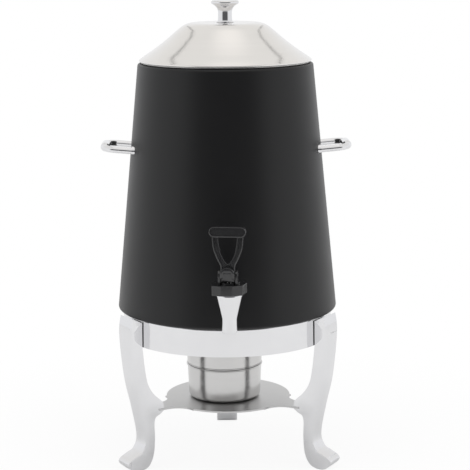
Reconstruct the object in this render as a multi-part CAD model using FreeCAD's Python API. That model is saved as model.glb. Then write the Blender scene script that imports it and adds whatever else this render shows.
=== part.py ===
import FreeCAD
import Part
import math
import os

# Coffee urn on a three-legged stand with a fuel burner. Millimetres, +Z up, the tap at -Y.
# The origin is the urn's axis at the height of the table.

V = FreeCAD.Vector
UP = V(0, 0, 1)

# Gaps between pieces
seat_gap = 0.3          # under a piece that lifts off what it rests on
joint_gap = 0.05        # between fixed pieces that fit into each other
running_gap = 0.05      # round a pin or stem that turns or slides
lift_gap = 1.2          # round a piece that drops into another by hand

# Stand
ring_radius = 130.8
ring_top = 190.1
ring_height = 33.2
ring_wall = 2.0
ledge_width = 11.5
hem_width = 3.0
leg_angles = {"leg_front_left": 210.0, "leg_front_right": 330.0, "leg_rear": 90.0}
leg_top_width = 33.4
leg_shin_width = 24.6
leg_foot_width = 26.6
knee_reach = 148.0
ankle_reach = 126.5
ankle_depth = 12.9
toe_reach = 151.2
sole_inner = 131.2
sole_outer = 139.4
lobe_reach = 99.8
leg_drop = 1.5              # leg tops below the ring's top
knee_drop = 22.0
ankle_height = 40.5
calf_height = 57.5
toe_height = 14.5
leg_screw_radius = 2.5
leg_screw_length = 11.0
leg_screw_head_radius = 4.5
leg_screw_head_height = 2.8
leg_screw_pitch = 15.0

# Burner
tray_top = 75.4
tray_thickness = 2.0
tray_radius = 78.4
tray_arm_width = 26.6
tray_arm_depth = 7.5    # how far an arm reaches into its leg
arm_fillet = 22.4
cup_radius = 46.8
cup_height = 38.4
cup_wall = 1.0
cup_corner = 3.0
cup_bead = 1.2
cover_height = 25.0
cover_plug_depth = 6.0
cover_hole_radius = 31.0
cup_offset = -4.3           # the loose cup stands a little to the left of the axis

# Urn body
jacket_bottom_radius = 136.3
jacket_top_radius = 108.4
jacket_height = 307.7
jacket_wall = 1.0
jacket_corner = 3.0
jacket_flange_inner = 122.0
insulation_gap = 9.0
vessel_wall = 1.0
vessel_floor_lift = 14.8    # vessel floor above the jacket's underside
vessel_corner = 12.0
vessel_rim_height = 3.1
vessel_rim_width = 5.5
base_ring_wall = 2.0
base_ring_inner = 115.8
spigot_depth = 5.0

# Side handles
handle_height = 393.6
handle_spacing = 63.4
handle_reach = 155.0
handle_rod_radius = 4.0
grip_radius = 5.5
grip_length = 34.0
handle_bend = 14.0
handle_rise = 5.0           # degrees that the loop tilts up
rosette_radius = 5.6
rosette_thickness = 2.5
handle_stud_radius = 2.5
handle_nut_height = 4.0

# Tap
tap_reach = 176.5           # urn axis to spout axis
shank_height = 238.8
shank_radius = 8.0
shank_bore = 4.5
shank_flange_radius = 13.0
shank_flange_thickness = 3.0
gasket_radius = 14.0
gasket_thickness = 4.5
spout_top = 247.0
spout_top_radius = 15.0
spout_neck_height = 217.3
spout_neck_radius = 9.0
spout_tip = 199.8
spout_tip_radius = 9.4
spout_tip_round = 1.3
outlet_bore = 6.6
seat_bore = 4.5
seat_height = 233.9
chamber_radius = 10.0
collar_radius = 14.0
collar_height = 6.0
bonnet_nut_height = 11.8
bonnet_nut_flats = 38.0
bonnet_nut_corner = 7.3
bonnet_nut_turn = 12.0
bonnet_nut_lip = 2.0
bonnet_neck_radius = 12.0
bonnet_flange_radius = 13.4
bonnet_cap_height = 1.2
ear_half_width = 12.0
ear_thickness = 2.8
ear_radius = 5.2
pivot_offset = 8.0          # the lever's pivot in front of the stem
pivot_height = 270.2
pin_radius = 1.6
hood_radius = 9.4
hood_slot = 9.2
lever_thickness = 9.0
thumb_bar_length = 45.0
thumb_bar_height = 13.4
thumb_bar_rise = 49.0       # pivot to the middle of the thumb bar
fork_half_width = 19.8
fork_half_gap = 10.9
fork_foot_rise = 4.0
fork_floor_rise = 12.9
ear_gap = 0.3
thumb_bar_depth = 11.0
thumb_bar_rim = 2.0
lever_recess = 1.2
lever_swing = 35.0          # degrees
stem_radius = 2.6
stem_head_width = 7.6
seat_cup_radius = 8.0
spring_radius = 5.0
spring_wire = 0.9
spring_turns = 6

# Lid
lid_wall = 1.0
lid_rim_radius = 106.4
lid_rim_height = 3.0
lid_cone_foot_radius = 97.2
lid_cone_foot_rise = 8.2
lid_cone_head_radius = 56.5
lid_cone_head_rise = 40.3
lid_plateau_radius = 42.0
lid_plateau_rise = 48.8
lid_skirt_depth = 12.0
knob_height = 24.3
knob_flange_radius = 15.9
knob_flange_height = 4.1
knob_neck_radius = 7.9
knob_base_radius = 9.9
knob_base_height = 2.2
knob_screw_radius = 2.5
knob_washer_radius = 9.0

# Heights and radii that follow
ring_bottom = ring_top - ring_height
jacket_bottom = ring_top + seat_gap
jacket_top = jacket_bottom + jacket_height
vessel_floor = jacket_bottom + vessel_floor_lift
vessel_rim_top = jacket_top + vessel_rim_height
lid_base = vessel_rim_top + seat_gap
tray_bottom = tray_top - tray_thickness
cup_base = tray_top + seat_gap
cup_rim = cup_base + cup_height
cover_base = cup_rim + cup_bead + seat_gap
bonnet_nut_top = spout_top + bonnet_nut_height
collar_top = spout_top + collar_height
bonnet_floor = bonnet_nut_top + seat_gap + bonnet_cap_height
pivot_y = -tap_reach - pivot_offset
thumb_bar_centre = pivot_height + thumb_bar_rise
lever_lift = pivot_offset * math.sin(math.radians(lever_swing))


def jacket_radius(z):
    """The outer radius of the tapered jacket at a height."""
    share = (z - jacket_bottom) / jacket_height
    return jacket_bottom_radius + (jacket_top_radius - jacket_bottom_radius) * share


def vessel_radius(z):
    """The outer radius of the inner vessel at a height."""
    return jacket_radius(z) - jacket_wall - insulation_gap


class Path:
    """A closed outline in the radius and height plane, drawn edge by edge."""

    def __init__(self, radius, height):
        self.start = V(radius, 0, height)
        self.here = self.start
        self.edges = []

    def line(self, radius, height):
        end = V(radius, 0, height)
        self.edges.append(Part.LineSegment(self.here, end).toShape())
        self.here = end
        return self

    def arc(self, mid_radius, mid_height, radius, height):
        end = V(radius, 0, height)
        middle = V(mid_radius, 0, mid_height)
        self.edges.append(Part.Arc(self.here, middle, end).toShape())
        self.here = end
        return self

    def curve(self, points):
        nodes = [self.here] + [V(radius, 0, height) for radius, height in points]
        spline = Part.BSplineCurve()
        spline.interpolate(nodes)
        self.edges.append(spline.toShape())
        self.here = nodes[-1]
        return self

    def face(self):
        if self.here.distanceToPoint(self.start) > 1e-7:
            self.line(self.start.x, self.start.z)
        return Part.Face(Part.Wire(self.edges))

    def turned(self):
        """The outline turned round the vertical axis."""
        return self.face().revolve(V(0, 0, 0), UP, 360)


def disc(radius, low, high, x=0.0, y=0.0):
    """An upright cylinder between two heights."""
    return Part.makeCylinder(radius, high - low, V(x, y, low), UP)


def tube(outer, inner, low, high, x=0.0, y=0.0):
    """An upright tube between two heights."""
    return disc(outer, low, high, x, y).cut(disc(inner, low, high, x, y))


def along_y(radius, start, end, height, x=0.0):
    """A level cylinder that runs along Y from start to end."""
    return Part.makeCylinder(radius, end - start, V(x, start, height), V(0, 1, 0))


def along_x(radius, start, end, y, height):
    """A level cylinder that runs along X from start to end."""
    return Part.makeCylinder(radius, end - start, V(start, y, height), V(1, 0, 0))


def block(low, high):
    """A box between two corners."""
    size = V(*high) - V(*low)
    return Part.makeBox(size.x, size.y, size.z, V(*low))


def hexagon(flats, low, high, y=0.0):
    """An upright hexagonal prism, flats across X."""
    corner = flats / math.sqrt(3)
    angles = [math.radians(30 + 60 * side) for side in range(7)]
    points = [V(corner * math.cos(a), y + corner * math.sin(a), low) for a in angles]
    return Part.Face(Part.makePolygon(points)).extrude(V(0, 0, high - low))


def turned_to(shape, angle, axis=UP, centre=V(0, 0, 0)):
    """A copy of a shape turned about an axis."""
    copy = shape.copy()
    copy.rotate(centre, axis, angle)
    return copy


def save(name, *shapes):
    """Writes one node, which may hold several separate solids."""
    shape = shapes[0] if len(shapes) == 1 else Part.makeCompound(list(shapes))
    shape.exportStep(f"parts/{name}.step")


# Stand: the ring that carries the urn, its legs and their screws
def leg_screw_heights():
    middle = (ring_top + ring_bottom) / 2
    return (middle - leg_screw_pitch / 2, middle + leg_screw_pitch / 2)


def radial_cylinder(radius, inner, outer, height):
    """A level cylinder that points out along +X."""
    return Part.makeCylinder(radius, outer - inner, V(inner, 0, height), V(1, 0, 0))


def stand_ring():
    inside = ring_radius - ring_wall
    section = Path(ring_radius, ring_bottom)
    section.line(ring_radius, ring_top - ring_wall)
    section.arc(ring_radius - 0.293 * ring_wall, ring_top - 0.293 * ring_wall,
                ring_radius - ring_wall, ring_top)
    section.line(ring_radius - ledge_width, ring_top)
    section.line(ring_radius - ledge_width, ring_top - ring_wall)
    section.line(inside, ring_top - ring_wall)
    section.line(inside, ring_bottom + ring_wall)
    section.line(inside - hem_width, ring_bottom + ring_wall)
    section.line(inside - hem_width, ring_bottom)
    ring = section.turned()
    for angle in leg_angles.values():
        for height in leg_screw_heights():
            hole = radial_cylinder(leg_screw_radius + joint_gap, inside - 1, ring_radius + 1, height)
            ring = ring.cut(turned_to(hole, angle))
    return ring


def leg_side_outline():
    """The side view of a leg: a knee at the ring, a thin ankle and a foot that kicks out."""
    knee = ring_top - knee_drop
    shin = knee - ankle_height
    calf = knee_reach - ankle_reach
    heel = ankle_reach - ankle_depth
    slot_middle = (tray_top + tray_bottom) / 2
    inner = ring_radius + joint_gap
    top = ring_top - leg_drop
    path = Path(inner, top)
    path.line(knee_reach - 2.8, top)
    path.curve([
        (knee_reach, knee),
        (ankle_reach + 0.72 * calf, ankle_height + 0.58 * shin),
        (ankle_reach + 0.32 * calf, ankle_height + 0.295 * shin),
        (ankle_reach, ankle_height),
        (ankle_reach + 4.8, 1.65 * toe_height),
        (ankle_reach + 13.0, 1.32 * toe_height),
        (toe_reach - 3.3, toe_height),
    ])
    path.arc(toe_reach, 0.75 * toe_height, toe_reach - 0.8, 0.455 * toe_height)
    path.arc(toe_reach - 6.1, 0.125 * toe_height, sole_outer, 0)
    path.line(sole_inner, 0)
    path.curve([(heel + 8.4, 0.08 * calf_height), (heel + 2.1, 0.315 * calf_height),
                (heel, 0.67 * calf_height), (heel + 0.2, calf_height)])
    path.arc(heel - 1.8, slot_middle - 9.1, lobe_reach + 6.1, slot_middle - 5.7)
    path.arc(lobe_reach, slot_middle + 2.1, lobe_reach + 3.3, slot_middle + 10.7)
    path.curve([
        (heel + 1.3, slot_middle + 21.5),
        (heel + 9.0, slot_middle + 34.5),
        (inner - 4.0, ring_bottom - 30.0),
        (inner - 1.3, ring_bottom - 11.4),
        (inner, ring_bottom),
    ])
    return path.face()


def leg_front_outline():
    """The view from outside: wide at the ring, slim at the shin, a little wider at the toe."""
    top = leg_top_width / 2
    shin = leg_shin_width / 2
    foot = leg_foot_width / 2
    side = Path(-foot, -1)
    side.line(foot, -1)
    side.curve([(foot, 10.6), (shin + 0.2, 36), (shin, tray_top), (shin + 1.2, 111),
                (top - 0.6, ring_bottom), (top, ring_top + 1)])
    side.line(-top, ring_top + 1)
    side.curve([(-top + 0.6, ring_bottom), (-shin - 1.2, 111), (-shin, tray_top),
                (-shin - 0.2, 36), (-foot, 10.6), (-foot, -1)])
    face = side.face()
    face.rotate(V(0, 0, 0), UP, 90)
    return face


def leg(angle):
    half = leg_top_width
    bar = leg_side_outline()
    bar.translate(V(0, -half, 0))
    bar = bar.extrude(V(0, 2 * half, 0))
    outline = leg_front_outline()
    outline.translate(V(60, 0, 0))
    bar = bar.common(outline.extrude(V(140, 0, 0)))
    bar = bar.cut(disc(ring_radius + joint_gap, ring_bottom, ring_top + 1))
    slot = block((lobe_reach - 5, -half, tray_bottom - joint_gap),
                 (lobe_reach + tray_arm_depth + joint_gap, half, tray_top + joint_gap))
    bar = bar.cut(slot)
    for height in leg_screw_heights():
        bar = bar.cut(radial_cylinder(leg_screw_radius + joint_gap, ring_radius - ring_wall,
                                      ring_radius - ring_wall + leg_screw_length + 1, height))
    return turned_to(bar, angle)


def leg_screws():
    screws = []
    inside = ring_radius - ring_wall
    for angle in leg_angles.values():
        for height in leg_screw_heights():
            shank = radial_cylinder(leg_screw_radius, inside - 0.5, inside + leg_screw_length, height)
            seat = math.sqrt(inside ** 2 - leg_screw_head_radius ** 2) - joint_gap
            head = radial_cylinder(leg_screw_head_radius, seat - leg_screw_head_height, seat, height)
            screws.append(turned_to(shank.fuse(head).removeSplitter(), angle))
    return screws


# Burner: the tray between the legs, the cup for the fuel can and its cover
def fuel_tray():
    tip = lobe_reach + tray_arm_depth
    plate = disc(tray_radius, tray_bottom, tray_top)
    half = tray_arm_width / 2
    root = math.sqrt((tray_radius + arm_fillet) ** 2 - (half + arm_fillet) ** 2)
    for angle in leg_angles.values():
        arm = block((0, -half, tray_bottom), (tip, half, tray_top))
        gusset = block((0, -half - arm_fillet, tray_bottom), (root, half + arm_fillet, tray_top))
        for side in (-1, 1):
            gusset = gusset.cut(disc(arm_fillet, tray_bottom, tray_top, root, side * (half + arm_fillet)))
        gusset = gusset.common(disc(tray_radius + arm_fillet, tray_bottom, tray_top))
        plate = plate.fuse(turned_to(arm.fuse(gusset), angle))
    return plate.removeSplitter()


def fuel_cup():
    inner = cup_radius - cup_wall
    section = Path(0, cup_base)
    section.line(cup_radius - cup_corner, cup_base)
    section.arc(cup_radius - 0.293 * cup_corner, cup_base + 0.293 * cup_corner,
                cup_radius, cup_base + cup_corner)
    section.line(cup_radius, cup_rim - cup_bead)
    section.arc(cup_radius + cup_bead, cup_rim, cup_radius, cup_rim + cup_bead)
    section.line(inner, cup_rim + cup_bead)
    section.line(inner, cup_base + cup_corner)
    section.line(cup_radius - cup_corner, cup_base + cup_wall)
    section.line(0, cup_base + cup_wall)
    cup = section.turned()
    cup.translate(V(cup_offset, 0, 0))
    return cup


def cup_cover():
    """A ring-shaped cover whose skirt drops into the cup and whose hole lets the flame out."""
    plug = cup_radius - cup_wall - lift_gap
    top = cover_base + cover_height
    section = Path(cup_radius, cover_base)
    section.arc(cup_radius + cup_bead, cover_base + 1.5, cup_radius, cover_base + 3.0)
    section.line(cup_radius, top - cup_corner)
    section.arc(cup_radius - 0.293 * cup_corner, top - 0.293 * cup_corner,
                cup_radius - cup_corner, top)
    section.line(cover_hole_radius, top)
    section.line(cover_hole_radius, top - cup_wall)
    section.line(cup_radius - cup_corner, top - cup_wall)
    section.line(cup_radius - cup_wall, top - cup_corner)
    section.line(cup_radius - cup_wall, cover_base + cup_wall)
    section.line(plug, cover_base + cup_wall)
    section.line(plug - cup_wall, cover_base)
    section.line(plug - cup_wall, cover_base - cover_plug_depth)
    section.line(plug, cover_base - cover_plug_depth)
    section.line(plug, cover_base)
    cover = section.turned()
    cover.translate(V(cup_offset, 0, 0))
    return cover


# Urn: the painted jacket, the steel vessel that hangs in it and the ring they stand on
def outer_jacket():
    corner = jacket_corner
    low_radius = jacket_radius(jacket_bottom + corner)
    high_radius = jacket_radius(jacket_top - corner)
    mouth = vessel_radius(jacket_top - jacket_wall) + joint_gap
    section = Path(jacket_flange_inner, jacket_bottom)
    section.line(low_radius - corner, jacket_bottom)
    section.arc(low_radius - 0.293 * corner, jacket_bottom + 0.293 * corner,
                low_radius, jacket_bottom + corner)
    section.line(high_radius, jacket_top - corner)
    section.arc(high_radius - 0.293 * corner, jacket_top - 0.293 * corner,
                high_radius - corner, jacket_top)
    section.line(mouth, jacket_top)
    section.line(mouth, jacket_top - jacket_wall)
    section.line(high_radius - corner, jacket_top - jacket_wall)
    section.line(high_radius - jacket_wall, jacket_top - corner)
    section.line(low_radius - jacket_wall, jacket_bottom + corner)
    section.line(low_radius - corner, jacket_bottom + jacket_wall)
    section.line(jacket_flange_inner, jacket_bottom + jacket_wall)
    jacket = section.turned()
    jacket = jacket.cut(along_y(shank_radius + joint_gap, -jacket_bottom_radius - 5, -90, shank_height))
    for side in (-1, 1):
        for y in (-handle_spacing / 2, handle_spacing / 2):
            hole = along_x(handle_stud_radius + joint_gap, 90, 140, y, handle_height)
            jacket = jacket.cut(turned_to(hole, 0 if side > 0 else 180))
    return jacket


def vessel_section(inset):
    """The vessel's outline, inset from its outer face by a wall."""
    floor = vessel_floor + inset
    corner = vessel_corner - inset
    low_radius = vessel_radius(vessel_floor + vessel_corner) - inset
    return floor, corner, low_radius


def inner_vessel():
    floor, corner, low_radius = vessel_section(0.0)
    inside_floor, inside_corner, inside_low = vessel_section(vessel_wall)
    top_radius = vessel_radius(jacket_top)
    inside_top = top_radius - vessel_wall
    rim_outer = top_radius + vessel_rim_width
    bead = vessel_rim_height / 2
    section = Path(0, floor)
    section.line(low_radius - corner, floor)
    section.arc(low_radius - 0.293 * corner, floor + 0.293 * corner, low_radius, floor + corner)
    section.line(top_radius, jacket_top)
    section.line(rim_outer - bead, jacket_top)
    section.arc(rim_outer, jacket_top + bead, rim_outer - bead, vessel_rim_top)
    section.line(inside_top + bead, vessel_rim_top)
    section.arc(inside_top + 0.293 * bead, vessel_rim_top - 0.293 * bead,
                inside_top, vessel_rim_top - bead)
    section.line(inside_low, inside_floor + inside_corner)
    section.arc(inside_low - 0.293 * inside_corner, inside_floor + 0.293 * inside_corner,
                inside_low - inside_corner, inside_floor)
    section.line(0, inside_floor)
    vessel = section.turned()
    return vessel.cut(along_y(shank_radius + joint_gap, -130, -90, shank_height))


def base_ring():
    outer = jacket_bottom_radius - jacket_wall - jacket_corner
    foot = jacket_bottom + jacket_wall
    wall = base_ring_inner + base_ring_wall
    section = Path(base_ring_inner, jacket_bottom - spigot_depth)
    section.line(wall, jacket_bottom - spigot_depth)
    section.line(wall, foot)
    section.line(outer, foot)
    section.line(outer, foot + base_ring_wall)
    section.line(wall, foot + base_ring_wall)
    section.line(wall, vessel_floor)
    section.line(base_ring_inner, vessel_floor)
    return section.turned()


# Side handles: a chrome rod bent to a level loop, with a thicker grip
def handle_loop():
    half = handle_spacing / 2
    seat = math.sqrt(jacket_radius(handle_height) ** 2 - half ** 2)
    start = seat - jacket_wall - handle_nut_height - 3.0
    outer = handle_reach - grip_radius
    bend = handle_bend
    cut = bend * (1 - math.cos(math.radians(45)))
    root = seat + rosette_thickness
    edges = [
        Part.LineSegment(V(root, -half, 0), V(outer - bend, -half, 0)).toShape(),
        Part.Arc(V(outer - bend, -half, 0), V(outer - cut, -half + cut, 0),
                 V(outer, -half + bend, 0)).toShape(),
        Part.LineSegment(V(outer, -half + bend, 0), V(outer, half - bend, 0)).toShape(),
        Part.Arc(V(outer, half - bend, 0), V(outer - cut, half - cut, 0),
                 V(outer - bend, half, 0)).toShape(),
        Part.LineSegment(V(outer - bend, half, 0), V(root, half, 0)).toShape(),
    ]
    spine = Part.Wire(edges)
    ring = Part.Wire(Part.makeCircle(handle_rod_radius, V(root, -half, 0), V(1, 0, 0)))
    rod = spine.makePipeShell([ring], True, False)
    length = grip_length / 2
    taper = 4.0
    grip = Part.makeCylinder(grip_radius, 2 * (length - taper), V(outer, taper - length, 0), V(0, 1, 0))
    for side in (-1, 1):
        cone = Part.makeCone(grip_radius, handle_rod_radius, taper,
                             V(outer, side * (length - taper), 0), V(0, side, 0))
        grip = grip.fuse(cone)
    loop = rod.fuse(grip)
    loop.rotate(V(root, 0, 0), V(0, 1, 0), -handle_rise)
    loop.translate(V(0, 0, handle_height))
    for side in (-1, 1):
        stud = along_x(handle_stud_radius, start, root + 2.0, side * half, handle_height)
        knuckle = Part.makeSphere(handle_rod_radius, V(root, side * half, handle_height))
        knuckle = knuckle.cut(block((start, side * half - 10, handle_height - 10),
                                    (root, side * half + 10, handle_height + 10)))
        loop = loop.fuse(knuckle).fuse(stud)
    trim = block((start - 1, -half - 10, handle_height - 10), (root, half + 10, handle_height + 10))
    studs = along_x(handle_stud_radius, start, root, half, handle_height)
    studs = studs.fuse(along_x(handle_stud_radius, start, root, -half, handle_height))
    return loop.cut(trim).fuse(studs).removeSplitter()


def handle_fixings(right):
    """Rosettes outside the jacket and nuts inside it, two for each handle."""
    half = handle_spacing / 2
    seat = math.sqrt(jacket_radius(handle_height) ** 2 - half ** 2)
    outer_cone = Part.makeCone(jacket_radius(handle_height - 30), jacket_radius(handle_height + 30),
                               60, V(0, 0, handle_height - 30), UP)
    inner_cone = Part.makeCone(jacket_radius(handle_height - 30) - jacket_wall,
                               jacket_radius(handle_height + 30) - jacket_wall,
                               60, V(0, 0, handle_height - 30), UP)
    rosettes = []
    nuts = []
    for y in (-half, half):
        bore = along_x(handle_stud_radius + joint_gap, seat - 20, seat + 20, y, handle_height)
        rosette = along_x(rosette_radius, seat - 4, seat + rosette_thickness, y, handle_height)
        rosettes.append(rosette.cut(outer_cone).cut(bore))
        nut = along_x(4.6, seat - jacket_wall - handle_nut_height, seat + 2, y, handle_height)
        nuts.append(nut.common(inner_cone).cut(bore))
    turn = 0 if right else 180
    return [turned_to(r, turn) for r in rosettes], [turned_to(n, turn) for n in nuts]


# Tap: a chrome body with its shank through both walls, a black bonnet and a lever
def tap_body():
    section = Path(seat_bore, seat_height)
    section.line(chamber_radius, seat_height)
    section.line(chamber_radius, collar_top)
    section.line(collar_radius, collar_top)
    section.line(collar_radius, spout_top)
    section.line(spout_top_radius, spout_top)
    section.line(spout_neck_radius + 0.4, spout_neck_height + 1.5)
    section.curve([(spout_neck_radius + 0.05, spout_neck_height), (spout_neck_radius, spout_neck_height - 2)])
    section.line(spout_tip_radius, spout_tip + spout_tip_round)
    section.arc(spout_tip_radius - 0.293 * spout_tip_round, spout_tip + 0.293 * spout_tip_round,
                spout_tip_radius - spout_tip_round, spout_tip)
    section.line(outlet_bore, spout_tip)
    section.line(outlet_bore, seat_height - 7)
    section.line(seat_bore, seat_height - 5)
    spout = section.turned()
    spout.translate(V(0, -tap_reach, 0))
    wall_y = -jacket_radius(shank_height)
    flange_face = wall_y - gasket_thickness
    inside_y = -vessel_radius(shank_height) + vessel_wall
    shank = along_y(shank_radius, -tap_reach, inside_y + 13.0, shank_height)
    flange = along_y(shank_flange_radius, flange_face - shank_flange_thickness, flange_face, shank_height)
    body = spout.fuse(shank.cut(disc(chamber_radius, seat_height - 10, collar_top, 0, -tap_reach)))
    body = body.fuse(flange)
    passage = along_y(shank_bore, -tap_reach, inside_y + 20.0, shank_height)
    return body.cut(passage).removeSplitter()


def jacket_solid():
    """The whole tapered form of the jacket, to fit washers to."""
    return Part.makeCone(jacket_bottom_radius, jacket_top_radius, jacket_height, V(0, 0, jacket_bottom), UP)


def vessel_solid(inset):
    low = vessel_floor + vessel_corner
    return Part.makeCone(vessel_radius(low) - inset, vessel_radius(jacket_top) - inset,
                         jacket_top - low, V(0, 0, low), UP)


def outer_gasket():
    face = -jacket_radius(shank_height) - gasket_thickness
    washer = along_y(gasket_radius, face, face + gasket_thickness + 3, shank_height)
    return washer.cut(jacket_solid()).cut(along_y(shank_radius + joint_gap, face, -100, shank_height))


def spacer_sleeve():
    """A steel sleeve round the shank that keeps the two walls apart."""
    outer = -jacket_radius(shank_height) + jacket_wall
    sleeve = along_y(shank_radius + 3.0, outer - 1, -vessel_radius(shank_height) + 3, shank_height)
    inner_form = Part.makeCone(jacket_bottom_radius - jacket_wall, jacket_top_radius - jacket_wall,
                               jacket_height, V(0, 0, jacket_bottom), UP)
    sleeve = sleeve.common(inner_form).cut(vessel_solid(0.0))
    return sleeve.cut(along_y(shank_radius + joint_gap, outer - 5, -90, shank_height))


def inner_gasket():
    inside = -vessel_radius(shank_height) + vessel_wall
    washer = along_y(gasket_radius, inside - 1, inside + 3.5, shank_height)
    washer = washer.common(vessel_solid(vessel_wall + joint_gap * 4))
    return washer.cut(along_y(shank_radius + joint_gap, inside - 5, -90, shank_height))


def shank_nut():
    start = -vessel_radius(shank_height) + vessel_wall + 3.5
    nut = hexagon(24.0, 0, 7.0)
    nut.rotate(V(0, 0, 0), V(1, 0, 0), -90)
    nut.translate(V(0, start, shank_height))
    return nut.cut(along_y(shank_radius + joint_gap, start - 5, start + 15, shank_height))


def bonnet_nut():
    """A square nut with cut corners that clamps the bonnet on the tap body."""
    half = bonnet_nut_flats / 2
    side = half - bonnet_nut_corner
    corners = []
    for turn in range(4):
        quarter = math.radians(90 * turn)
        for x, y in ((half, -side), (half, side)):
            corners.append(V(x * math.cos(quarter) - y * math.sin(quarter),
                             x * math.sin(quarter) + y * math.cos(quarter), spout_top))
    corners.append(corners[0])
    nut = Part.Face(Part.makePolygon(corners)).extrude(V(0, 0, bonnet_nut_height))
    nut = nut.makeChamfer(0.7, [e for e in nut.Edges if abs(e.CenterOfMass.z - bonnet_nut_top) < 1e-6])
    nut.rotate(V(0, 0, 0), UP, -bonnet_nut_turn)
    nut.translate(V(0, -tap_reach, 0))
    lip = bonnet_nut_top - bonnet_nut_lip
    nut = nut.cut(disc(collar_radius + joint_gap, spout_top, lip, 0, -tap_reach))
    return nut.cut(disc(bonnet_neck_radius + joint_gap, lip, bonnet_nut_top, 0, -tap_reach))


def bonnet():
    lip = bonnet_nut_top - bonnet_nut_lip
    body = disc(bonnet_flange_radius, collar_top, lip - joint_gap, 0, -tap_reach)
    body = body.fuse(disc(bonnet_neck_radius, collar_top, bonnet_floor, 0, -tap_reach))
    body = body.fuse(disc(bonnet_neck_radius + 1.5, bonnet_nut_top + seat_gap, bonnet_floor, 0, -tap_reach))
    inner = ear_half_width - ear_thickness
    for side in (-1, 1):
        low = min(side * inner, side * ear_half_width)
        ear = along_x(ear_radius, low, low + ear_thickness, pivot_y, pivot_height)
        post = block((low, pivot_y - ear_radius, bonnet_nut_top + seat_gap),
                     (low + ear_thickness, pivot_y + ear_radius, pivot_height))
        body = body.fuse(ear).fuse(post)
        body = body.cut(along_x(pin_radius + joint_gap, low - 1, low + ear_thickness + 1, pivot_y, pivot_height))
    body = body.cut(disc(spring_radius + 1.2, collar_top, bonnet_floor - 2.0, 0, -tap_reach))
    body = body.cut(disc(stem_radius + running_gap, collar_top, bonnet_floor + 1, 0, -tap_reach))
    return body.removeSplitter()


def lever_outline(inset):
    """The fork seen from the front: two curved arms with a U between them, inset all round."""
    foot = ear_half_width - ear_thickness - ear_gap - inset
    low = pivot_height + fork_foot_rise + inset
    outer = fork_half_width - inset
    inner = fork_half_gap + inset
    knee = 0.7 * fork_half_width - inset
    bulge = 0.93 * fork_half_width - inset
    bottom = pivot_height + fork_floor_rise - 0.8 * inset
    waist = 0.6 * fork_half_gap + 0.8 * inset
    hip = 0.86 * fork_half_gap + inset
    levels = [pivot_height + share * thumb_bar_rise for share in (0.21, 0.38, 0.61, 0.84)]
    path = Path(-foot, low)
    path.line(foot, low)
    path.curve([(foot + 0.1, levels[0]), (knee, levels[1]), (bulge, levels[2]),
                (outer - 0.1, levels[3]), (outer, thumb_bar_centre)])
    path.line(inner, thumb_bar_centre)
    path.line(inner, levels[3])
    path.curve([(hip, levels[2]), (waist, levels[1] + 2), (0, bottom),
                (-waist, levels[1] + 2), (-hip, levels[2]), (-inner, levels[3])])
    path.line(-inner, thumb_bar_centre)
    path.line(-outer, thumb_bar_centre)
    path.curve([(0.1 - outer, levels[3]), (-bulge, levels[2]), (-knee, levels[1]),
                (-foot - 0.1, levels[0]), (-foot, low)])
    return path.face()


def stadium(length, height, depth, front):
    """A bar with round ends, lying along X at the thumb bar's height."""
    radius = height / 2
    reach = length / 2 - radius
    bar = block((-reach, front, thumb_bar_centre - radius), (reach, front + depth, thumb_bar_centre + radius))
    for side in (-1, 1):
        bar = bar.fuse(along_y(radius, front, front + depth, thumb_bar_centre, side * reach))
    return bar.removeSplitter()


def tap_lever():
    half = lever_thickness / 2
    fork = lever_outline(0.0)
    fork.translate(V(0, pivot_y - half, 0))
    fork = fork.extrude(V(0, lever_thickness, 0))
    groove = lever_outline(2.2)
    groove.translate(V(0, pivot_y - half, 0))
    groove = groove.extrude(V(0, lever_recess, 0))
    groove = groove.cut(block((-30, pivot_y - 20, 0), (30, pivot_y + 20, hood_radius + pivot_height + 3)))
    fork = fork.cut(groove)
    cheek = ear_half_width - ear_thickness - ear_gap
    hood = along_x(hood_radius, -cheek, cheek, pivot_y, pivot_height)
    tail = block((-cheek, pivot_y, pivot_height - 5.0), (cheek, pivot_y + pivot_offset + 4.2, pivot_height + 5.5))
    hood = hood.fuse(tail)
    arch = along_y(cheek, pivot_y - 30, pivot_y + 30, pivot_height + hood_radius - cheek)
    arch = arch.fuse(block((-cheek, pivot_y - 30, pivot_height - 20),
                           (cheek, pivot_y + 30, pivot_height + hood_radius - cheek)))
    hood = hood.common(arch)
    bar = stadium(thumb_bar_length, thumb_bar_height, thumb_bar_depth, pivot_y - thumb_bar_depth / 2)
    dish = stadium(thumb_bar_length - 2 * thumb_bar_rim, thumb_bar_height - 2 * thumb_bar_rim,
                   lever_recess, pivot_y - thumb_bar_depth / 2)
    lever = fork.fuse(hood).fuse(bar).cut(dish)
    slot = block((-hood_slot / 2, pivot_y - 20, pivot_height - 20),
                 (hood_slot / 2, pivot_y + 20, pivot_height + hood_radius - 3.3))
    lever = lever.cut(slot)
    lever = lever.cut(along_x(pin_radius + running_gap, -20, 20, pivot_y, pivot_height))
    return lever.cut(along_x(pin_radius + joint_gap, -20, 20, -tap_reach, pivot_height)).removeSplitter()


def pivot_pin():
    return along_x(pin_radius, -ear_half_width, ear_half_width, pivot_y, pivot_height)


def lift_pin():
    reach = ear_half_width - ear_thickness - ear_gap - 0.3
    return along_x(pin_radius, -reach, reach, -tap_reach, pivot_height)


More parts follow.
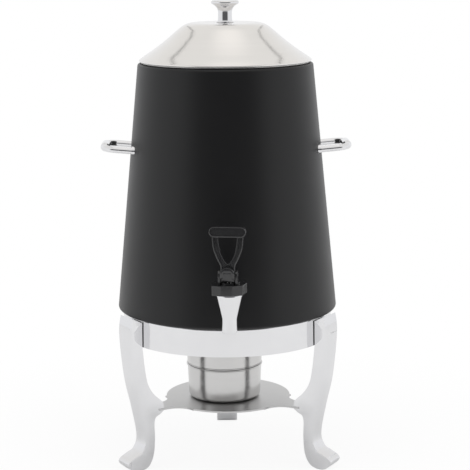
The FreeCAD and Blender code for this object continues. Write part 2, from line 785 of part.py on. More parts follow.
def tap_stem():
    """The rod that lifts the seat cup, with a slotted head for the lever's pin."""
    half = stem_head_width / 2
    play = pivot_offset * (1 - math.cos(math.radians(lever_swing)))
    slot_reach = pin_radius + play + 0.35
    rod = disc(stem_radius, seat_height + 4.0, pivot_height - 4.0, 0, -tap_reach)
    collar = disc(spring_radius + 0.6, seat_height + 10.0, seat_height + 11.0, 0, -tap_reach)
    head = block((-half, -tap_reach - slot_reach - 1.2, pivot_height - 5.0),
                 (half, -tap_reach + slot_reach + 1.2, pivot_height + 4.6))
    slot = along_x(pin_radius + 0.35, -half, half, -tap_reach, pivot_height)
    for side in (-1, 1):
        slot = slot.fuse(along_x(pin_radius + 0.35, -half, half, -tap_reach + side * play, pivot_height))
    slot = slot.fuse(block((-half, -tap_reach - play, pivot_height - pin_radius - 0.35),
                           (half, -tap_reach + play, pivot_height + pin_radius + 0.35)))
    return rod.fuse(collar).fuse(head).cut(slot).removeSplitter()


def seat_cup():
    """The silicone plug on the stem's end that closes the outlet."""
    section = Path(0, seat_height + seat_gap)
    section.line(seat_cup_radius - 2, seat_height + seat_gap)
    section.arc(seat_cup_radius - 0.6, seat_height + seat_gap + 0.6, seat_cup_radius, seat_height + seat_gap + 2)
    section.line(seat_cup_radius, seat_height + 6)
    section.line(seat_cup_radius - 3, seat_height + 8)
    section.line(seat_cup_radius - 3, seat_height + 10)
    section.line(stem_radius + 0.02, seat_height + 10)
    section.line(stem_radius + 0.02, seat_height + 4)
    section.line(0, seat_height + 4)
    cup = section.turned()
    cup.translate(V(0, -tap_reach, 0))
    return cup


def return_spring():
    low = seat_height + 11.0 + spring_wire / 2 + joint_gap
    high = bonnet_floor - 2.0 - spring_wire / 2 - joint_gap
    pitch = (high - low) / spring_turns
    helix = Part.makeHelix(pitch, high - low, spring_radius)
    start = V(spring_radius, 0, 0)
    ring = Part.Wire(Part.makeCircle(spring_wire / 2, start, V(0, 1, pitch / (2 * math.pi * spring_radius))))
    coil = Part.Wire(helix).makePipeShell([ring], True, True)
    coil.translate(V(0, -tap_reach, low))
    return coil


# Lid: a spun cone with a flat top, a skirt that finds the vessel's mouth and a trumpet knob
def lid_outline(inset):
    """The lid's outer face from rim to centre, or its inner face when inset by the wall."""
    foot = (lid_cone_foot_radius - 0.62 * inset, lid_base + lid_cone_foot_rise - 0.78 * inset)
    middle_radius = (lid_cone_foot_radius + lid_cone_head_radius) / 2 - 0.6
    middle_rise = (lid_cone_foot_rise + lid_cone_head_rise) / 2 - 0.6
    middle = (middle_radius - 0.62 * inset, lid_base + middle_rise - 0.78 * inset)
    head = (lid_cone_head_radius - 0.62 * inset, lid_base + lid_cone_head_rise - 0.78 * inset)
    plateau = (lid_plateau_radius, lid_base + lid_plateau_rise - inset)
    shoulder = (0.52 * (head[0] + plateau[0]), plateau[1] - 2.1)
    return foot, middle, head, shoulder, plateau


def lid_shell():
    foot, middle, head, shoulder, plateau = lid_outline(0.0)
    inner_foot, inner_middle, inner_head, inner_shoulder, inner_plateau = lid_outline(lid_wall)
    rim_top = lid_base + lid_rim_height
    bore = knob_screw_radius + joint_gap
    section = Path(lid_rim_radius - 5, lid_base)
    section.line(lid_rim_radius - 0.5, lid_base)
    section.line(lid_rim_radius, lid_base + 0.5)
    section.line(lid_rim_radius, rim_top - 0.4)
    section.line(lid_rim_radius - 1.2, rim_top)
    section.line(lid_rim_radius - 1.2, rim_top + 0.6)
    section.curve([(lid_rim_radius - 3.6, rim_top + 2.6), foot])
    section.curve([middle, head])
    section.curve([shoulder, plateau])
    section.line(bore, plateau[1])
    section.line(bore, inner_plateau[1])
    section.line(*inner_plateau)
    section.curve([inner_shoulder, inner_head])
    section.curve([inner_middle, inner_foot])
    section.line(lid_rim_radius - 2.6, rim_top)
    section.line(lid_rim_radius - 2.6, lid_base + 1.0)
    section.line(lid_rim_radius - 5, lid_base + 1.0)
    return section.turned()


def lid_skirt():
    """A ring spot-welded inside the cone, which drops into the vessel's mouth."""
    outer = vessel_radius(jacket_top) - vessel_wall - lift_gap
    inner_foot, inner_middle = lid_outline(lid_wall)[:2]
    slope = (inner_middle[1] - inner_foot[1]) / (inner_foot[0] - inner_middle[0])
    def under_cone(radius):
        return inner_foot[1] + (inner_foot[0] - radius) * slope - 0.6
    section = Path(outer, lid_base - lid_skirt_depth)
    section.line(outer, under_cone(outer))
    section.line(outer - 8, under_cone(outer - 8))
    section.line(outer - 8, under_cone(outer - 8) - 1.3)
    section.line(outer - 1, under_cone(outer - 1) - 1.3)
    section.line(outer - 1, lid_base - lid_skirt_depth)
    return section.turned()


def lid_knob():
    base = lid_base + lid_plateau_rise
    top = base + knob_height
    flange = top - knob_flange_height
    section = Path(0, base)
    section.line(knob_base_radius, base)
    section.line(knob_base_radius, base + knob_base_height - 0.6)
    section.line(knob_base_radius - 0.6, base + knob_base_height)
    section.line(knob_neck_radius, base + knob_base_height)
    section.line(knob_neck_radius, base + 0.52 * knob_height)
    section.curve([(knob_neck_radius + 1.2, flange - 3.6), (knob_neck_radius + 4.0, flange - 1.1),
                   (knob_flange_radius - 1.2, flange)])
    section.arc(knob_flange_radius, flange + 1.4, knob_flange_radius - 0.3, flange + 2.6)
    section.arc(knob_flange_radius - 1.3, top - 0.4, knob_flange_radius - 3.0, top)
    section.curve([(knob_flange_radius / 2, top - 0.5), (0, top - 0.7)])
    knob = section.turned()
    return knob.cut(disc(knob_screw_radius + joint_gap, base, base + 12))


def knob_washer():
    high = lid_base + lid_plateau_rise - lid_wall
    return tube(knob_washer_radius, knob_screw_radius + joint_gap, high - 1.2, high)


def knob_screw():
    base = lid_base + lid_plateau_rise
    seat = base - lid_wall - 1.2
    shank = disc(knob_screw_radius, seat - 0.5, base + 11)
    head = Path(0, seat)
    head.line(5.0, seat)
    head.line(5.0, seat - 1.2)
    head.curve([(3.6, seat - 2.7), (0, seat - 3.2)])
    return shank.fuse(head.turned())


def build():
    os.makedirs("parts", exist_ok=True)
    save("stand_ring", stand_ring())
    for name, angle in leg_angles.items():
        save(name, leg(angle))
    save("leg_screws", *leg_screws())
    save("fuel_tray", fuel_tray())
    save("fuel_cup", fuel_cup())
    save("cup_cover", cup_cover())
    save("outer_jacket", outer_jacket())
    save("inner_vessel", inner_vessel())
    save("base_ring", base_ring())
    right = handle_loop()
    save("handle_right", right)
    save("handle_left", turned_to(right, 180))
    rosettes, nuts = handle_fixings(True)
    left_rosettes, left_nuts = handle_fixings(False)
    save("handle_rosettes", *rosettes, *left_rosettes)
    save("handle_nuts", *nuts, *left_nuts)
    save("tap_body", tap_body())
    save("outer_gasket", outer_gasket())
    save("spacer_sleeve", spacer_sleeve())
    save("inner_gasket", inner_gasket())
    save("shank_nut", shank_nut())
    save("bonnet_nut", bonnet_nut())
    save("bonnet", bonnet())
    save("tap_lever", tap_lever())
    save("pivot_pin", pivot_pin())
    save("lift_pin", lift_pin())
    save("tap_stem", tap_stem())
    save("seat_cup", seat_cup())
    save("return_spring", return_spring())
    save("lid_shell", lid_shell())
    save("lid_skirt", lid_skirt())
    save("lid_knob", lid_knob())
    save("knob_washer", knob_washer())
    save("knob_screw", knob_screw())


build()
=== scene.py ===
from math import cos, radians, sin

import bmesh
import bpy
from mathutils import Matrix, Vector


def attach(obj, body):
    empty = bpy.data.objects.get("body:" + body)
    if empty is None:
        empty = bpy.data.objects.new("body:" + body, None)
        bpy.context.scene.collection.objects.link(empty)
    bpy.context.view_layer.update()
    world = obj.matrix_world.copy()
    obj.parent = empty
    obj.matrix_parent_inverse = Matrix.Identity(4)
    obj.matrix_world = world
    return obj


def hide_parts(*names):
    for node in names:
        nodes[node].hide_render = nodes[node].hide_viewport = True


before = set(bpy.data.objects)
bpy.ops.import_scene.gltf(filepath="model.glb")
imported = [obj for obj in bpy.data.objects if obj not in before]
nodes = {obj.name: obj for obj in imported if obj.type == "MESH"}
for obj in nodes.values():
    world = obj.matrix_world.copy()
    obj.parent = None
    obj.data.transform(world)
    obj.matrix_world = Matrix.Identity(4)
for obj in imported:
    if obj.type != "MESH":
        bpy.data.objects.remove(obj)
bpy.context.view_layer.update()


# Camera
# The photograph was taken with a long lens from about two metres, a little above the lid.
# The camera stands just left of the tap and looks down at the middle of the urn.
camera_place = (-0.0270, -2.0151, 0.6560)
camera_pan, camera_tilt, camera_roll = radians(-1.060), radians(90 - 10.515), radians(-0.42)
camera_data = bpy.data.cameras.new("camera")
camera_data.lens = 125.0
camera_data.sensor_width = 36.0
camera_data.clip_end = 30.0
camera = bpy.data.objects.new("camera", camera_data)
bpy.context.scene.collection.objects.link(camera)
camera_look = (Matrix.Rotation(camera_pan, 4, "Z") @ Matrix.Rotation(camera_tilt, 4, "X")
               @ Matrix.Rotation(camera_roll, 4, "Z"))
camera.matrix_world = Matrix.Translation(camera_place) @ camera_look
bpy.context.scene.camera = camera
bpy.context.scene.view_settings.view_transform = "Standard"


# Studio
# A white tent round a pale table: the light comes evenly from all sides and from above.
# The side towards the camera is open and dim, and the tent's seams show as thin lines in metal.
class Field:
    """A socket that takes part in sums, so that shader maths reads as an expression."""

    def __init__(self, finish, socket):
        self.finish = finish
        self.socket = socket

    def combine(self, operation, first, second=None):
        terms = {0: first} if second is None else {0: first, 1: second}
        node = self.finish.add("Math", {"operation": operation}, terms)
        return Field(self.finish, node.outputs[0])

    def __add__(self, other):
        return self.combine("ADD", self, other)

    def __radd__(self, other):
        return self.combine("ADD", other, self)

    def __sub__(self, other):
        return self.combine("SUBTRACT", self, other)

    def __rsub__(self, other):
        return self.combine("SUBTRACT", other, self)

    def __mul__(self, other):
        return self.combine("MULTIPLY", self, other)

    def __rmul__(self, other):
        return self.combine("MULTIPLY", other, self)

    def __pow__(self, other):
        return self.combine("POWER", self, other)

    def __abs__(self):
        return self.combine("ABSOLUTE", self)

    def clamped(self):
        node = self.finish.add("Clamp", {}, {"Value": self})
        return Field(self.finish, node.outputs[0])


class Finish:
    """A material or world whose nodes are added one at a time by one method."""

    def __init__(self, name, constants=None):
        self.material = bpy.data.materials.new(name)
        self.material.use_nodes = True
        self.tree = self.material.node_tree
        self.shader = self.tree.nodes["Principled BSDF"]
        for socket, value in (constants or {}).items():
            self.shader.inputs[socket].default_value = value

    def add(self, kind, settings, inputs):
        node = self.tree.nodes.new("ShaderNode" + kind)
        for name, value in settings.items():
            setattr(node, name, value)
        for name, value in inputs.items():
            self.feed(node.inputs[name], value)
        return node

    def feed(self, socket, value):
        if isinstance(value, Field):
            self.tree.links.new(value.socket, socket)
        elif isinstance(value, bpy.types.NodeSocket):
            self.tree.links.new(value, socket)
        else:
            socket.default_value = value

    def set(self, name, value):
        self.feed(self.shader.inputs[name], value)

    def place(self, scale=(1, 1, 1)):
        """The point on the piece, in metres, stretched for a pattern."""
        where = self.add("TexCoord", {}, {})
        mapped = self.add("Mapping", {}, {"Vector": where.outputs["Object"], "Scale": scale})
        return mapped.outputs[0]

    def parts(self, vector):
        """The vector's three numbers, each on its own."""
        node = self.add("SeparateXYZ", {}, {0: vector})
        return [Field(self, output) for output in node.outputs]

    def noise(self, vector, scale, detail=2.0, roughness=0.5):
        node = self.add("TexNoise", {}, {"Vector": vector, "Scale": scale, "Detail": detail,
                                         "Roughness": roughness})
        return Field(self, node.outputs[0])

    def mix(self, share, first, second):
        first, second = [(*colour, 1.0) if isinstance(colour, tuple) else colour for colour in (first, second)]
        node = self.add("Mix", {"data_type": "RGBA"}, {"Factor": share, 6: first, 7: second})
        return node.outputs[2]

    def bump(self, height, distance, strength=1.0):
        node = self.add("Bump", {}, {"Height": height, "Distance": distance, "Strength": strength})
        self.set("Normal", node.outputs[0])

    def apply(self, *pieces):
        for piece in pieces:
            if not piece.material_slots:
                piece.data.materials.append(self.material)
            for material_slot in piece.material_slots:
                material_slot.material = self.material


class Sky(Finish):
    """The tent, as the world round the object."""

    def __init__(self):
        world = bpy.data.worlds.new("tent")
        world.use_nodes = True
        bpy.context.scene.world = world
        self.tree = world.node_tree
        self.shader = self.tree.nodes["Background"]


tent = Sky()
tent_point = tent.add("TexCoord", {}, {})
tent_x, tent_y, tent_z = tent.parts(tent_point.outputs["Generated"])
tent_rays = tent.add("LightPath", {}, {})
seen_by_camera = Field(tent, tent_rays.outputs["Is Camera Ray"])
seen_in_metal = Field(tent, tent_rays.outputs["Is Glossy Ray"])
camera_side = ((0 - tent_y - 0.60) * 5).clamped() * ((0.50 - abs(tent_z)) * 4).clamped()
wall_tone, roof_tone = (0.92, 0.925, 0.935), (0.88, 0.87, 0.855)
glow_tone, opening_tone = (1.10, 1.075, 1.05), (0.11, 0.11, 0.115)
plain_tone, backdrop_tone = (0.62, 0.62, 0.62), (1.0, 1.0, 1.0)
tent_wall = tent.mix((tent_z * 2.2 - 0.4).clamped(), wall_tone, roof_tone)
tent_glow = ((tent_x * 0.10 - tent_y * 0.05 + tent_z * 0.99 - 0.89) * 9).clamped() ** 1.5
tent_lit = tent.mix(tent_glow, tent_wall, glow_tone)
tent_dim = tent.mix(camera_side, tent_lit, opening_tone)
tent_plain = tent.mix(seen_in_metal, plain_tone, tent_dim)
tent.set("Color", tent.mix(seen_by_camera, tent_plain, backdrop_tone))

lamp_target = Vector((0, 0, 0.28))
for lamp_name, lamp_place, lamp_size, lamp_power in (
        ("lamp_left", (-1.9, -0.9, 1.3), 1.5, 11.0),
        ("lamp_right", (1.9, -0.9, 1.3), 1.5, 11.0),
        ("lamp_above", (0.0, -0.2, 2.4), 1.8, 16.0)):
    lamp_data = bpy.data.lights.new(lamp_name, "AREA")
    lamp_data.size = lamp_size
    lamp_data.energy = lamp_power
    lamp = bpy.data.objects.new(lamp_name, lamp_data)
    bpy.context.scene.collection.objects.link(lamp)
    lamp_aim = (lamp_target - Vector(lamp_place)).to_track_quat("-Z", "Y")
    lamp.matrix_world = Matrix.Translation(lamp_place) @ lamp_aim.to_matrix().to_4x4()
    lamp.visible_glossy = False


def shown(name, mesh, corner=None):
    """The finished mesh as a piece of the scene, smooth but for edges sharper than the corner."""
    data = bpy.data.meshes.new(name)
    mesh.to_mesh(data)
    mesh.free()
    if corner:
        for polygon in data.polygons:
            polygon.use_smooth = True
        data.set_sharp_from_angle(angle=radians(corner))
    piece = bpy.data.objects.new(name, data)
    bpy.context.scene.collection.objects.link(piece)
    return piece


def sheet(name, half, stretch, place):
    """A flat sheet of the studio, stretched and set in its place."""
    mesh = bmesh.new()
    bmesh.ops.create_grid(mesh, x_segments=1, y_segments=1, size=half)
    bmesh.ops.scale(mesh, verts=mesh.verts, vec=stretch)
    bmesh.ops.translate(mesh, verts=mesh.verts, vec=place)
    return shown(name, mesh)


table = sheet("table", 1.6, (1, 1, 1), (0, 0.25, 0))
table_finish = Finish("pale_table", {"Base Color": (0.86, 0.86, 0.86, 1), "Roughness": 0.9})
table_rays = table_finish.add("LightPath", {}, {})
table_x, table_y = table_finish.parts(table_finish.place())[:2]
table_radius = (table_x * table_x + table_y * table_y) ** 0.5
table_reach = (table_radius * 2.6 - 0.45).clamped()
table_seen = Field(table_finish, table_rays.outputs["Is Camera Ray"]) * (0.91 + 0.09 * table_reach)
# In metal the table is partly a white glow, a painted light: it fades out round the urn as a painted shadow,
# and is weaker towards the front as painted shade.
table_shade = ((table_radius - 0.13) * 4).clamped()
table_front_shade = ((0 - table_y - 0.25) * 1.5).clamped()
table_glossy = Field(table_finish, table_rays.outputs["Is Glossy Ray"])
table_glow_in_metal = table_glossy * table_shade * (0.42 - 0.14 * table_front_shade)
table_white = table_finish.add("Emission", {}, {"Color": (1, 1, 1, 1), "Strength": 1.0})
table_mixed = table_finish.add("MixShader", {}, {0: table_seen + table_glow_in_metal,
                                                1: table_finish.shader.outputs[0],
                                                2: table_white.outputs[0]})
table_output = table_finish.tree.nodes["Material Output"]
table_finish.tree.links.new(table_mixed.outputs[0], table_output.inputs[0])
table_finish.apply(table)

seam_half, seam_height = 0.5, 0.90
seam_stretch = (0.012, 1.2, 1)
for seam_name, seam_x in (("seam_left", -0.265), ("seam_right", 0.283)):
    seam = sheet(seam_name, seam_half, seam_stretch, (seam_x, 0.25, seam_height))
    seam.visible_camera = False
    seam.visible_diffuse = False
    seam.visible_shadow = False
    seam_finish = Finish(seam_name, {"Base Color": (0.2, 0.2, 0.2, 1), "Roughness": 1.0})
    seam_finish.apply(seam)



# Jacket
# The tapered outer wall is sheet steel with a matte black stove enamel, rolled over at both ends.
# The enamel has a very fine orange peel and a soft sheen; the ring in the foot is enamelled too.
enamel = Finish("black_enamel", {"Specular IOR Level": 0.37})
enamel_cloud = enamel.noise(enamel.place(), 9.0, 3.0)
enamel.set("Base Color", enamel.mix(enamel_cloud, (0.0042, 0.0042, 0.0048), (0.0062, 0.0062, 0.0068)))
enamel.set("Roughness", 0.36 + 0.05 * enamel.noise(enamel.place(), 40.0, 3.0))
enamel.bump(enamel.noise(enamel.place(), 1400.0, 2.0), 0.00003, 0.5)
enamel.apply(nodes["base_ring"])


def turned(name, section, steps, closed):
    """A piece turned round the urn's axis from its section of radius and height."""
    lathe = bmesh.new()
    ring = [lathe.verts.new((radius, 0, height)) for radius, height in section]
    edges = [lathe.edges.new(pair) for pair in zip(ring, ring[1:])]
    if closed:
        edges.append(lathe.edges.new((ring[-1], ring[0])))
    bmesh.ops.spin(lathe, geom=ring + edges, cent=(0, 0, 0), axis=(0, 0, 1), dvec=(0, 0, 0),
                   angle=radians(360), steps=steps, use_merge=True, use_normal_flip=False,
                   use_duplicate=False)
    bmesh.ops.remove_doubles(lathe, verts=lathe.verts, dist=0.000001)
    bmesh.ops.recalc_face_normals(lathe, faces=lathe.faces)
    return shown(name, lathe, corner=50)


def rolled(centre, radius, start, end, cuts=6):
    """Points along a rolled corner, the angles in degrees from straight outwards."""
    turns = [radians(start + (end - start) * cut / cuts) for cut in range(cuts + 1)]
    return [(centre[0] + radius * cos(turn), centre[1] + radius * sin(turn)) for turn in turns]


def stands_for(piece, body, node):
    """Let the piece take the place of a CAD node on its body."""
    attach(piece, body)
    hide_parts(node)


jacket_low, jacket_high = 0.1924, 0.4982
jacket_foot, jacket_head = 0.1370, 0.1084
jacket_sole, jacket_mouth = 0.1220, 0.0995
jacket_wall, jacket_roll = 0.001, 0.003
straight, slope = 0.0005, 0.00005
jacket_outside = (
    [(jacket_sole, jacket_low)]
    + rolled((jacket_foot - jacket_roll, jacket_low + jacket_roll), jacket_roll, -90, 0)
    + [(jacket_foot - slope, jacket_low + jacket_roll + straight),
       (jacket_head + slope, jacket_high - jacket_roll - straight)]
    + rolled((jacket_head - jacket_roll, jacket_high - jacket_roll), jacket_roll, 0, 90)
    + [(jacket_mouth, jacket_high)])
jacket_inside = [
    (jacket_mouth, jacket_high - jacket_wall), (jacket_head - jacket_roll, jacket_high - jacket_wall),
    (jacket_head - jacket_wall, jacket_high - jacket_roll),
    (jacket_foot - jacket_wall, jacket_low + jacket_roll),
    (jacket_foot - jacket_roll, jacket_low + jacket_wall), (jacket_sole, jacket_low + jacket_wall)]
jacket = turned("jacket", jacket_outside + jacket_inside, steps=192, closed=True)
enamel.apply(jacket)
stands_for(jacket, "urn", "outer_jacket")


# Vessel
# The inner tank is deep-drawn stainless steel with a rolled rim that the lid rests on.
# It is left satin, and its fittings are plain turned steel.
tank_steel = Finish("tank_steel", {"Metallic": 1.0})
tank_grain = tank_steel.noise(tank_steel.place((30, 30, 1800)), 1.0, 3.0)
tank_steel.set("Base Color", tank_steel.mix(tank_grain, (0.60, 0.59, 0.58), (0.70, 0.69, 0.68)))
tank_steel.set("Roughness", 0.24 + 0.14 * tank_grain)
tank_steel.apply(nodes["inner_vessel"], nodes["spacer_sleeve"], nodes["shank_nut"])


# Side handles
# Two rod loops with a thicker grip, each held on the jacket by a pair of collars.
# They are polished and chrome plated, and fine rub marks break up the mirror here and there.
chrome = Finish("bright_chrome", {"Metallic": 1.0})
chrome_rub = chrome.noise(chrome.place((60, 60, 60)), 1.0, 4.0, 0.6)
chrome.set("Base Color", chrome.mix(chrome_rub, (0.77, 0.77, 0.785), (0.82, 0.82, 0.83)))
chrome.set("Roughness", 0.05 + 0.07 * chrome_rub)
chrome.apply(nodes["handle_right"], nodes["handle_left"], nodes["handle_rosettes"])


# Band
# The stand's band is rolled inwards at the top into the ledge that the urn stands on.
# Its lower edge is hemmed inwards.
band_low, band_high = 0.1580, 0.1922
band_radius, band_wall = 0.1308, 0.002
band_ledge, band_hem = band_radius - 0.0115, band_radius - 0.005
band_inner = band_radius - band_wall
band_outside = (
    [(band_radius, band_low), (band_radius, band_high - band_wall - 0.0003)]
    + rolled((band_inner, band_high - band_wall), band_wall, 0, 90)
    + [(band_ledge, band_high)])
band_inside = [
    (band_ledge, band_high - band_wall), (band_inner, band_high - band_wall),
    (band_inner, band_low + band_wall), (band_hem, band_low + band_wall), (band_hem, band_low)]
band = turned("band", band_outside + band_inside, steps=192, closed=True)
chrome.apply(band)
stands_for(band, "stand", "stand_ring")


# Legs
# Each leg is a polished casting with a knee, a slim shin and a foot that kicks out.
# Its long edges are broken by hand on the wheel, so that they catch the light.
def flowing(points, cuts):
    """A smooth run through the given points, as the turner's tool draws it."""
    run = []
    for index in range(len(points) - 1):
        start, end = Vector(points[index]), Vector(points[index + 1])
        before = Vector(points[max(index - 1, 0)])
        after = Vector(points[min(index + 2, len(points) - 1)])
        for cut in range(cuts):
            t = cut / cuts
            run.append(0.5 * (2 * start + (end - before) * t
                              + (2 * before - 5 * start + 4 * end - after) * t ** 2
                              + (3 * start - before - 3 * end + after) * t ** 3))
    run.append(Vector(points[-1]))
    return run


leg_side = (
    [(0.1308, 0.1600), (0.1308, 0.1886), (0.1318, 0.1887)]
    + flowing([(0.1429, 0.1943), (0.1457, 0.1710), (0.1415, 0.1162), (0.1336, 0.0790), (0.1265, 0.0405),
               (0.1313, 0.0239), (0.1395, 0.0191), (0.1479, 0.0145), (0.1512, 0.0109), (0.1504, 0.0066),
               (0.1451, 0.0018), (0.1404, 0.0000)], 8)
    + flowing([(0.1334, 0.0000), (0.1230, 0.0046), (0.1160, 0.0181), (0.1136, 0.0385), (0.1138, 0.0575),
               (0.1118, 0.0653), (0.1059, 0.0687), (0.1011, 0.0722), (0.1000, 0.0734)], 8)
    + [(0.1074, 0.0734), (0.1074, 0.0754)]
    + flowing([(0.0999, 0.0754), (0.0998, 0.0765), (0.1008, 0.0815), (0.1031, 0.0851), (0.1149, 0.0965),
               (0.1226, 0.1099), (0.1268, 0.1285), (0.1295, 0.1477), (0.1307, 0.1590)], 8))
leg_widths = flowing([(0.0133, -0.0015), (0.0133, 0.0106), (0.0125, 0.0360), (0.0123, 0.0754),
                      (0.0135, 0.1107), (0.0161, 0.1594), (0.0167, 0.1987)], 10)
leg_edge, leg_head, leg_brow = 0.0034, 0.180, 0.1456


def leg_half_width(height):
    """Half of the leg's width at this height."""
    for below, above in zip(leg_widths, leg_widths[1:]):
        if height <= above[1]:
            return below[0] + (above[0] - below[0]) * (height - below[1]) / (above[1] - below[1])
    return leg_widths[-1][0]


def cast_leg(name, angle):
    """A leg swept from its side view, as wide at each height as the view from outside asks."""
    casting = bmesh.new()
    sides = [[casting.verts.new((point[0], side * leg_half_width(point[1]), point[1])) for point in leg_side]
             for side in (-1, 1)]
    casting.faces.new(sides[0])
    casting.faces.new(list(reversed(sides[1])))
    for index in range(len(leg_side)):
        casting.faces.new((sides[0][index], sides[0][index - 1], sides[1][index - 1], sides[1][index]))
    bmesh.ops.recalc_face_normals(casting, faces=casting.faces)
    rims = [edge for edge in casting.edges
            if any(len(face.verts) > 4 for face in edge.link_faces)
            and min(vert.co.z for vert in edge.verts) < leg_head
            and min(vert.co.x for vert in edge.verts) < leg_brow]
    bmesh.ops.bevel(casting, geom=rims, offset=leg_edge, offset_type="OFFSET", segments=4, profile=0.5,
                    affect="EDGES", clamp_overlap=True, material=-1)
    bmesh.ops.triangulate(casting, faces=[face for face in casting.faces if len(face.verts) > 4])
    bmesh.ops.rotate(casting, verts=casting.verts, cent=(0, 0, 0),
                     matrix=Matrix.Rotation(radians(angle), 3, "Z"))
    return shown(name, casting, corner=34)


for leg_name, leg_angle in (("leg_front_left", 210), ("leg_front_right", 330), ("leg_rear", 90)):
    leg = cast_leg(leg_name + "_cast", leg_angle)
    chrome.apply(leg)
    stands_for(leg, "stand", leg_name)


# Screws, nuts and spring
# The screws, the nuts of the handles, the knob's washer and the tap's coil spring are small parts.
# All are plain stainless steel, and most are out of sight behind what they hold.
small_steel = Finish("small_steel", {"Metallic": 1.0})
small_grain = small_steel.noise(small_steel.place(), 700.0, 3.0)
small_steel.set("Base Color", small_steel.mix(small_grain, (0.52, 0.52, 0.52), (0.64, 0.64, 0.64)))
small_steel.set("Roughness", 0.25 + 0.15 * small_grain)
small_steel.apply(nodes["leg_screws"], nodes["handle_nuts"], nodes["return_spring"], nodes["knob_screw"],
                  nodes["knob_washer"])


# Burner
# The tray is a plate that hooks into the legs; the cup and its cover are drawn steel cans.
# All are brushed, the plate along its length and the cans round their sides.
plate_steel = Finish("plate_steel", {"Metallic": 1.0})
plate_grain = plate_steel.noise(plate_steel.place((14, 900, 900)), 1.0, 4.0, 0.6)
plate_steel.set("Base Color", plate_steel.mix(plate_grain, (0.50, 0.50, 0.50), (0.70, 0.695, 0.69)))
plate_steel.set("Roughness", 0.22 + 0.20 * plate_grain)
plate_steel.apply(nodes["fuel_tray"])

can_steel = Finish("can_steel", {"Metallic": 1.0})
can_grain = can_steel.noise(can_steel.place((16, 16, 1500)), 1.0, 4.0, 0.6)
can_steel.set("Base Color", can_steel.mix(can_grain, (0.58, 0.575, 0.57), (0.72, 0.715, 0.71)))
can_steel.set("Roughness", 0.15 + 0.14 * can_grain)
can_shift, can_wall = -0.0043, 0.001
cup_low, cup_high = 0.0757, 0.1199
cup_foot, cup_mouth, cup_corner = 0.0453, 0.0468, 0.005
cup_neck, bead_middle, bead_round = cup_high - 0.0044, cup_high - 0.0022, 0.0014
cup_outside = (
    [(0.0, cup_low)]
    + rolled((cup_foot - cup_corner, cup_low + cup_corner), cup_corner, -90, 0)
    + [(cup_foot + 0.00002, cup_low + cup_corner + 0.0005), (cup_mouth, cup_neck - 0.0003),
       (cup_mouth, cup_neck)]
    + rolled((cup_mouth, bead_middle), bead_round, -90, 90)
    + [(cup_mouth, cup_high)])
cup_inside = [
    (cup_mouth - can_wall, cup_high), (cup_mouth - can_wall, cup_neck),
    (cup_foot - can_wall, cup_low + cup_corner), (cup_foot - cup_corner, cup_low + can_wall),
    (0.0, cup_low + can_wall)]
cup = turned("cup", cup_outside + cup_inside, steps=128, closed=False)

cover_low, cover_high = 0.1202, 0.1406
cover_radius, cover_corner, cover_hole = 0.0472, 0.003, 0.0310
skirt_radius, skirt_low = 0.0455, cover_low - 0.006
cover_outside = (
    [(cover_radius - 0.0004, cover_low), (cover_radius, cover_low + 0.0004), (cover_radius, cover_low + 0.0007),
     (cover_radius, cover_high - cover_corner - 0.0003)]
    + rolled((cover_radius - cover_corner, cover_high - cover_corner), cover_corner, 0, 90)
    + [(cover_hole, cover_high)])
cover_inside = [
    (cover_hole, cover_high - can_wall), (cover_radius - cover_corner, cover_high - can_wall),
    (cover_radius - can_wall, cover_high - cover_corner), (cover_radius - can_wall, cover_low + can_wall),
    (skirt_radius, cover_low + can_wall), (skirt_radius - can_wall, cover_low),
    (skirt_radius - can_wall, skirt_low), (skirt_radius, skirt_low), (skirt_radius, cover_low)]
cover = turned("cover", cover_outside + cover_inside, steps=128, closed=True)

for can, can_body, can_node in ((cup, "cup", "fuel_cup"), (cover, "cover", "cup_cover")):
    can.data.transform(Matrix.Translation((can_shift, 0, 0)))
    can_steel.apply(can)
    stands_for(can, can_body, can_node)


# Lid
# A cone spun from stainless steel, finely polished, with a rolled rim.
# The tool leaves faint rings round the axis.
lid_steel = Finish("spun_steel", {"Metallic": 1.0})
lid_x, lid_y, lid_z = lid_steel.parts(lid_steel.place())
lid_radius = (lid_x * lid_x + lid_y * lid_y) ** 0.5
lid_rings = lid_steel.add("CombineXYZ", {}, {0: lid_radius * 1500, 1: lid_z * 400, 2: 0.0})
lid_grain = lid_steel.noise(lid_rings.outputs[0], 1.0, 3.0, 0.55)
lid_steel.set("Base Color", lid_steel.mix(lid_grain, (0.80, 0.785, 0.765), (0.86, 0.845, 0.825)))
lid_steel.set("Roughness", 0.12 + 0.06 * lid_grain)
lid_steel.apply(nodes["lid_skirt"])

lid_base, lid_rise = 0.5016, 0.0458
lid_wall, lid_bore, lid_lip = 0.0009, 0.0027, 0.0004
lid_outside = flowing([
    (0.1050, -0.0012), (0.1058, -0.0011), (0.1063, -0.0002), (0.1060, 0.0008), (0.1046, 0.0019),
    (0.1000, 0.0052), (0.0902, 0.0118), (0.0804, 0.0190), (0.0706, 0.0268), (0.0608, 0.0352),
    (0.0545, 0.0403), (0.0490, 0.0436), (0.0430, 0.0453), (0.0360, 0.0457), (0.0110, lid_rise),
    (lid_bore, lid_rise)], 10)
lid_inside = []
for before, point, after in zip(lid_outside, lid_outside[1:], lid_outside[2:]):
    along = (after - before).normalized()
    lid_inside.append(point - Vector((along.y, -along.x)) * lid_wall)
lid_inside = [point for point in lid_inside if point.y > lid_lip]
lid_section = [(point.x, lid_base + point.y) for point in lid_outside]
lid_section += [(lid_bore, lid_base + lid_rise - lid_wall)]
lid_section += [(max(point.x, lid_bore + 0.0001), lid_base + point.y) for point in reversed(lid_inside)]
lid = turned("lid_spun", lid_section, steps=192, closed=True)
lid_steel.apply(lid)
stands_for(lid, "lid", "lid_shell")


